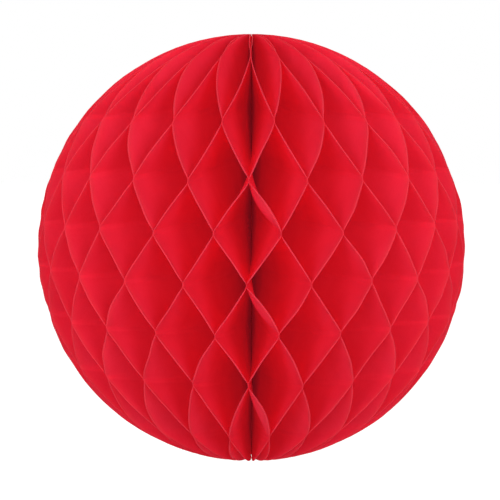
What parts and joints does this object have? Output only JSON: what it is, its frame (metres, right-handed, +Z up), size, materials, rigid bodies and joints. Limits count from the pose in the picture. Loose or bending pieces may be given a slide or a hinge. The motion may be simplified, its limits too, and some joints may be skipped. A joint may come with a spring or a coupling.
{
  "type": "paper honeycomb ball",
  "caption": "Round tissue-paper honeycomb ball that hangs from its spine and folds flat like a fan between two half-round card covers.",
  "frame": {"origin": "centre of the open ball, on the spine axis", "axes": "+Z up along the spine to the hanging end, -Y to the front, closing seam with the cover boards at +Y"},
  "size_m": [0.203, 0.2027, 0.203],
  "materials": {
    "tissue": "matt dyed tissue paper, slightly see-through",
    "card": "matt dyed card",
    "binding": "glue-soaked edges of the tissue",
    "hinge_paper": "matt paper strip",
    "thread": "twisted cotton thread",
    "adhesive_pad": "soft adhesive pad"
  },
  "bodies": {
    "root": {"spine_core": "binding", "top_tie": "thread", "bottom_tie": "thread", "fixed_board": "card", "fixed_hinge_strip": "hinge_paper"},
    "moving_board": {"moving_board": "card", "moving_hinge_strip": "hinge_paper", "closure_pads": "adhesive_pad"},
    "leaf_01": {"leaf_01": "tissue"},
    "leaf_02": {"leaf_02": "tissue"},
    "leaf_03": {"leaf_03": "tissue"},
    "leaf_04": {"leaf_04": "tissue"},
    "leaf_05": {"leaf_05": "tissue"},
    "leaf_06": {"leaf_06": "tissue"},
    "leaf_07": {"leaf_07": "tissue"},
    "leaf_08": {"leaf_08": "tissue"},
    "leaf_09": {"leaf_09": "tissue"},
    "leaf_10": {"leaf_10": "tissue"},
    "leaf_11": {"leaf_11": "tissue"},
    "leaf_12": {"leaf_12": "tissue"},
    "leaf_13": {"leaf_13": "tissue"},
    "leaf_14": {"leaf_14": "tissue"},
    "leaf_15": {"leaf_15": "tissue"},
    "leaf_16": {"leaf_16": "tissue"},
    "leaf_17": {"leaf_17": "tissue"},
    "leaf_18": {"leaf_18": "tissue"},
    "leaf_19": {"leaf_19": "tissue"},
    "leaf_20": {"leaf_20": "tissue"},
    "leaf_21": {"leaf_21": "tissue"},
    "leaf_22": {"leaf_22": "tissue"},
    "leaf_23": {"leaf_23": "tissue"},
    "leaf_24": {"leaf_24": "tissue"},
    "leaf_25": {"leaf_25": "tissue"},
    "leaf_26": {"leaf_26": "tissue"},
    "leaf_27": {"leaf_27": "tissue"},
    "leaf_28": {"leaf_28": "tissue"},
    "leaf_29": {"leaf_29": "tissue"},
    "leaf_30": {"leaf_30": "tissue"},
    "leaf_31": {"leaf_31": "tissue"},
    "leaf_32": {"leaf_32": "tissue"},
    "leaf_33": {"leaf_33": "tissue"},
    "leaf_34": {"leaf_34": "tissue"},
    "leaf_35": {"leaf_35": "tissue"},
    "leaf_36": {"leaf_36": "tissue"},
    "leaf_37": {"leaf_37": "tissue"},
    "leaf_38": {"leaf_38": "tissue"},
    "leaf_39": {"leaf_39": "tissue"},
    "leaf_40": {"leaf_40": "tissue"},
    "leaf_41": {"leaf_41": "tissue"},
    "leaf_42": {"leaf_42": "tissue"},
    "leaf_43": {"leaf_43": "tissue"},
    "leaf_44": {"leaf_44": "tissue"},
    "leaf_45": {"leaf_45": "tissue"},
    "leaf_46": {"leaf_46": "tissue"}
  },
  "joints": [
    {"name": "fold", "type": "hinge", "parent": "root", "child": "moving_board", "pos_m": [0, 0, 0], "axis": [0, 0, 1], "range_deg": [-350, 0]},
    {"name": "leaf_01_turn", "type": "hinge", "parent": "root", "child": "leaf_01", "pos_m": [0, 0, 0], "axis": [0, 0, 1], "range_deg": [-3.81, 0], "deforming": ["leaf_01"]},
    {"name": "leaf_02_turn", "type": "hinge", "parent": "root", "child": "leaf_02", "pos_m": [0, 0, 0], "axis": [0, 0, 1], "range_deg": [-11.42, 0], "deforming": ["leaf_02"]},
    {"name": "leaf_03_turn", "type": "hinge", "parent": "root", "child": "leaf_03", "pos_m": [0, 0, 0], "axis": [0, 0, 1], "range_deg": [-19.03, 0], "deforming": ["leaf_03"]},
    {"name": "leaf_04_turn", "type": "hinge", "parent": "root", "child": "leaf_04", "pos_m": [0, 0, 0], "axis": [0, 0, 1], "range_deg": [-26.64, 0], "deforming": ["leaf_04"]},
    {"name": "leaf_05_turn", "type": "hinge", "parent": "root", "child": "leaf_05", "pos_m": [0, 0, 0], "axis": [0, 0, 1], "range_deg": [-34.24, 0], "deforming": ["leaf_05"]},
    {"name": "leaf_06_turn", "type": "hinge", "parent": "root", "child": "leaf_06", "pos_m": [0, 0, 0], "axis": [0, 0, 1], "range_deg": [-41.85, 0], "deforming": ["leaf_06"]},
    {"name": "leaf_07_turn", "type": "hinge", "parent": "root", "child": "leaf_07", "pos_m": [0, 0, 0], "axis": [0, 0, 1], "range_deg": [-49.46, 0], "deforming": ["leaf_07"]},
    {"name": "leaf_08_turn", "type": "hinge", "parent": "root", "child": "leaf_08", "pos_m": [0, 0, 0], "axis": [0, 0, 1], "range_deg": [-57.07, 0], "deforming": ["leaf_08"]},
    {"name": "leaf_09_turn", "type": "hinge", "parent": "root", "child": "leaf_09", "pos_m": [0, 0, 0], "axis": [0, 0, 1], "range_deg": [-64.68, 0], "deforming": ["leaf_09"]},
    {"name": "leaf_10_turn", "type": "hinge", "parent": "root", "child": "leaf_10", "pos_m": [0, 0, 0], "axis": [0, 0, 1], "range_deg": [-72.29, 0], "deforming": ["leaf_10"]},
    {"name": "leaf_11_turn", "type": "hinge", "parent": "root", "child": "leaf_11", "pos_m": [0, 0, 0], "axis": [0, 0, 1], "range_deg": [-79.9, 0], "deforming": ["leaf_11"]},
    {"name": "leaf_12_turn", "type": "hinge", "parent": "root", "child": "leaf_12", "pos_m": [0, 0, 0], "axis": [0, 0, 1], "range_deg": [-87.5, 0], "deforming": ["leaf_12"]},
    {"name": "leaf_13_turn", "type": "hinge", "parent": "root", "child": "leaf_13", "pos_m": [0, 0, 0], "axis": [0, 0, 1], "range_deg": [-95.11, 0], "deforming": ["leaf_13"]},
    {"name": "leaf_14_turn", "type": "hinge", "parent": "root", "child": "leaf_14", "pos_m": [0, 0, 0], "axis": [0, 0, 1], "range_deg": [-102.72, 0], "deforming": ["leaf_14"]},
    {"name": "leaf_15_turn", "type": "hinge", "parent": "root", "child": "leaf_15", "pos_m": [0, 0, 0], "axis": [0, 0, 1], "range_deg": [-110.33, 0], "deforming": ["leaf_15"]},
    {"name": "leaf_16_turn", "type": "hinge", "parent": "root", "child": "leaf_16", "pos_m": [0, 0, 0], "axis": [0, 0, 1], "range_deg": [-117.94, 0], "deforming": ["leaf_16"]},
    {"name": "leaf_17_turn", "type": "hinge", "parent": "root", "child": "leaf_17", "pos_m": [0, 0, 0], "axis": [0, 0, 1], "range_deg": [-125.55, 0], "deforming": ["leaf_17"]},
    {"name": "leaf_18_turn", "type": "hinge", "parent": "root", "child": "leaf_18", "pos_m": [0, 0, 0], "axis": [0, 0, 1], "range_deg": [-133.16, 0], "deforming": ["leaf_18"]},
    {"name": "leaf_19_turn", "type": "hinge", "parent": "root", "child": "leaf_19", "pos_m": [0, 0, 0], "axis": [0, 0, 1], "range_deg": [-140.77, 0], "deforming": ["leaf_19"]},
    {"name": "leaf_20_turn", "type": "hinge", "parent": "root", "child": "leaf_20", "pos_m": [0, 0, 0], "axis": [0, 0, 1], "range_deg": [-148.37, 0], "deforming": ["leaf_20"]},
    {"name": "leaf_21_turn", "type": "hinge", "parent": "root", "child": "leaf_21", "pos_m": [0, 0, 0], "axis": [0, 0, 1], "range_deg": [-155.98, 0], "deforming": ["leaf_21"]},
    {"name": "leaf_22_turn", "type": "hinge", "parent": "root", "child": "leaf_22", "pos_m": [0, 0, 0], "axis": [0, 0, 1], "range_deg": [-163.59, 0], "deforming": ["leaf_22"]},
    {"name": "leaf_23_turn", "type": "hinge", "parent": "root", "child": "leaf_23", "pos_m": [0, 0, 0], "axis": [0, 0, 1], "range_deg": [-171.2, 0], "deforming": ["leaf_23"]},
    {"name": "leaf_24_turn", "type": "hinge", "parent": "root", "child": "leaf_24", "pos_m": [0, 0, 0], "axis": [0, 0, 1], "range_deg": [-178.81, 0], "deforming": ["leaf_24"]},
    {"name": "leaf_25_turn", "type": "hinge", "parent": "root", "child": "leaf_25", "pos_m": [0, 0, 0], "axis": [0, 0, 1], "range_deg": [-186.42, 0], "deforming": ["leaf_25"]},
    {"name": "leaf_26_turn", "type": "hinge", "parent": "root", "child": "leaf_26", "pos_m": [0, 0, 0], "axis": [0, 0, 1], "range_deg": [-194.03, 0], "deforming": ["leaf_26"]},
    {"name": "leaf_27_turn", "type": "hinge", "parent": "root", "child": "leaf_27", "pos_m": [0, 0, 0], "axis": [0, 0, 1], "range_deg": [-201.64, 0], "deforming": ["leaf_27"]},
    {"name": "leaf_28_turn", "type": "hinge", "parent": "root", "child": "leaf_28", "pos_m": [0, 0, 0], "axis": [0, 0, 1], "range_deg": [-209.24, 0], "deforming": ["leaf_28"]},
    {"name": "leaf_29_turn", "type": "hinge", "parent": "root", "child": "leaf_29", "pos_m": [0, 0, 0], "axis": [0, 0, 1], "range_deg": [-216.85, 0], "deforming": ["leaf_29"]},
    {"name": "leaf_30_turn", "type": "hinge", "parent": "root", "child": "leaf_30", "pos_m": [0, 0, 0], "axis": [0, 0, 1], "range_deg": [-224.46, 0], "deforming": ["leaf_30"]},
    {"name": "leaf_31_turn", "type": "hinge", "parent": "root", "child": "leaf_31", "pos_m": [0, 0, 0], "axis": [0, 0, 1], "range_deg": [-232.07, 0], "deforming": ["leaf_31"]},
    {"name": "leaf_32_turn", "type": "hinge", "parent": "root", "child": "leaf_32", "pos_m": [0, 0, 0], "axis": [0, 0, 1], "range_deg": [-239.68, 0], "deforming": ["leaf_32"]},
    {"name": "leaf_33_turn", "type": "hinge", "parent": "root", "child": "leaf_33", "pos_m": [0, 0, 0], "axis": [0, 0, 1], "range_deg": [-247.29, 0], "deforming": ["leaf_33"]},
    {"name": "leaf_34_turn", "type": "hinge", "parent": "root", "child": "leaf_34", "pos_m": [0, 0, 0], "axis": [0, 0, 1], "range_deg": [-254.9, 0], "deforming": ["leaf_34"]},
    {"name": "leaf_35_turn", "type": "hinge", "parent": "root", "child": "leaf_35", "pos_m": [0, 0, 0], "axis": [0, 0, 1], "range_deg": [-262.5, 0], "deforming": ["leaf_35"]},
    {"name": "leaf_36_turn", "type": "hinge", "parent": "root", "child": "leaf_36", "pos_m": [0, 0, 0], "axis": [0, 0, 1], "range_deg": [-270.11, 0], "deforming": ["leaf_36"]},
    {"name": "leaf_37_turn", "type": "hinge", "parent": "root", "child": "leaf_37", "pos_m": [0, 0, 0], "axis": [0, 0, 1], "range_deg": [-277.72, 0], "deforming": ["leaf_37"]},
    {"name": "leaf_38_turn", "type": "hinge", "parent": "root", "child": "leaf_38", "pos_m": [0, 0, 0], "axis": [0, 0, 1], "range_deg": [-285.33, 0], "deforming": ["leaf_38"]},
    {"name": "leaf_39_turn", "type": "hinge", "parent": "root", "child": "leaf_39", "pos_m": [0, 0, 0], "axis": [0, 0, 1], "range_deg": [-292.94, 0], "deforming": ["leaf_39"]},
    {"name": "leaf_40_turn", "type": "hinge", "parent": "root", "child": "leaf_40", "pos_m": [0, 0, 0], "axis": [0, 0, 1], "range_deg": [-300.55, 0], "deforming": ["leaf_40"]},
    {"name": "leaf_41_turn", "type": "hinge", "parent": "root", "child": "leaf_41", "pos_m": [0, 0, 0], "axis": [0, 0, 1], "range_deg": [-308.16, 0], "deforming": ["leaf_41"]},
    {"name": "leaf_42_turn", "type": "hinge", "parent": "root", "child": "leaf_42", "pos_m": [0, 0, 0], "axis": [0, 0, 1], "range_deg": [-315.77, 0], "deforming": ["leaf_42"]},
    {"name": "leaf_43_turn", "type": "hinge", "parent": "root", "child": "leaf_43", "pos_m": [0, 0, 0], "axis": [0, 0, 1], "range_deg": [-323.37, 0], "deforming": ["leaf_43"]},
    {"name": "leaf_44_turn", "type": "hinge", "parent": "root", "child": "leaf_44", "pos_m": [0, 0, 0], "axis": [0, 0, 1], "range_deg": [-330.98, 0], "deforming": ["leaf_44"]},
    {"name": "leaf_45_turn", "type": "hinge", "parent": "root", "child": "leaf_45", "pos_m": [0, 0, 0], "axis": [0, 0, 1], "range_deg": [-338.59, 0], "deforming": ["leaf_45"]},
    {"name": "leaf_46_turn", "type": "hinge", "parent": "root", "child": "leaf_46", "pos_m": [0, 0, 0], "axis": [0, 0, 1], "range_deg": [-346.2, 0], "deforming": ["leaf_46"]}
  ],
  "couplings": [
    {"joint": "leaf_01_turn", "follows": "fold", "ratio": 0.01087},
    {"joint": "leaf_02_turn", "follows": "fold", "ratio": 0.032609},
    {"joint": "leaf_03_turn", "follows": "fold", "ratio": 0.054348},
    {"joint": "leaf_04_turn", "follows": "fold", "ratio": 0.076087},
    {"joint": "leaf_05_turn", "follows": "fold", "ratio": 0.097826},
    {"joint": "leaf_06_turn", "follows": "fold", "ratio": 0.11957},
    {"joint": "leaf_07_turn", "follows": "fold", "ratio": 0.1413},
    {"joint": "leaf_08_turn", "follows": "fold", "ratio": 0.16304},
    {"joint": "leaf_09_turn", "follows": "fold", "ratio": 0.18478},
    {"joint": "leaf_10_turn", "follows": "fold", "ratio": 0.20652},
    {"joint": "leaf_11_turn", "follows": "fold", "ratio": 0.22826},
    {"joint": "leaf_12_turn", "follows": "fold", "ratio": 0.25},
    {"joint": "leaf_13_turn", "follows": "fold", "ratio": 0.27174},
    {"joint": "leaf_14_turn", "follows": "fold", "ratio": 0.29348},
    {"joint": "leaf_15_turn", "follows": "fold", "ratio": 0.31522},
    {"joint": "leaf_16_turn", "follows": "fold", "ratio": 0.33696},
    {"joint": "leaf_17_turn", "follows": "fold", "ratio": 0.3587},
    {"joint": "leaf_18_turn", "follows": "fold", "ratio": 0.38044},
    {"joint": "leaf_19_turn", "follows": "fold", "ratio": 0.40217},
    {"joint": "leaf_20_turn", "follows": "fold", "ratio": 0.42391},
    {"joint": "leaf_21_turn", "follows": "fold", "ratio": 0.44565},
    {"joint": "leaf_22_turn", "follows": "fold", "ratio": 0.46739},
    {"joint": "leaf_23_turn", "follows": "fold", "ratio": 0.48913},
    {"joint": "leaf_24_turn", "follows": "fold", "ratio": 0.51087},
    {"joint": "leaf_25_turn", "follows": "fold", "ratio": 0.53261},
    {"joint": "leaf_26_turn", "follows": "fold", "ratio": 0.55435},
    {"joint": "leaf_27_turn", "follows": "fold", "ratio": 0.57609},
    {"joint": "leaf_28_turn", "follows": "fold", "ratio": 0.59783},
    {"joint": "leaf_29_turn", "follows": "fold", "ratio": 0.61957},
    {"joint": "leaf_30_turn", "follows": "fold", "ratio": 0.6413},
    {"joint": "leaf_31_turn", "follows": "fold", "ratio": 0.66304},
    {"joint": "leaf_32_turn", "follows": "fold", "ratio": 0.68478},
    {"joint": "leaf_33_turn", "follows": "fold", "ratio": 0.70652},
    {"joint": "leaf_34_turn", "follows": "fold", "ratio": 0.72826},
    {"joint": "leaf_35_turn", "follows": "fold", "ratio": 0.75},
    {"joint": "leaf_36_turn", "follows": "fold", "ratio": 0.77174},
    {"joint": "leaf_37_turn", "follows": "fold", "ratio": 0.79348},
    {"joint": "leaf_38_turn", "follows": "fold", "ratio": 0.81522},
    {"joint": "leaf_39_turn", "follows": "fold", "ratio": 0.83696},
    {"joint": "leaf_40_turn", "follows": "fold", "ratio": 0.8587},
    {"joint": "leaf_41_turn", "follows": "fold", "ratio": 0.88043},
    {"joint": "leaf_42_turn", "follows": "fold", "ratio": 0.90217},
    {"joint": "leaf_43_turn", "follows": "fold", "ratio": 0.92391},
    {"joint": "leaf_44_turn", "follows": "fold", "ratio": 0.94565},
    {"joint": "leaf_45_turn", "follows": "fold", "ratio": 0.96739},
    {"joint": "leaf_46_turn", "follows": "fold", "ratio": 0.98913}
  ]
}
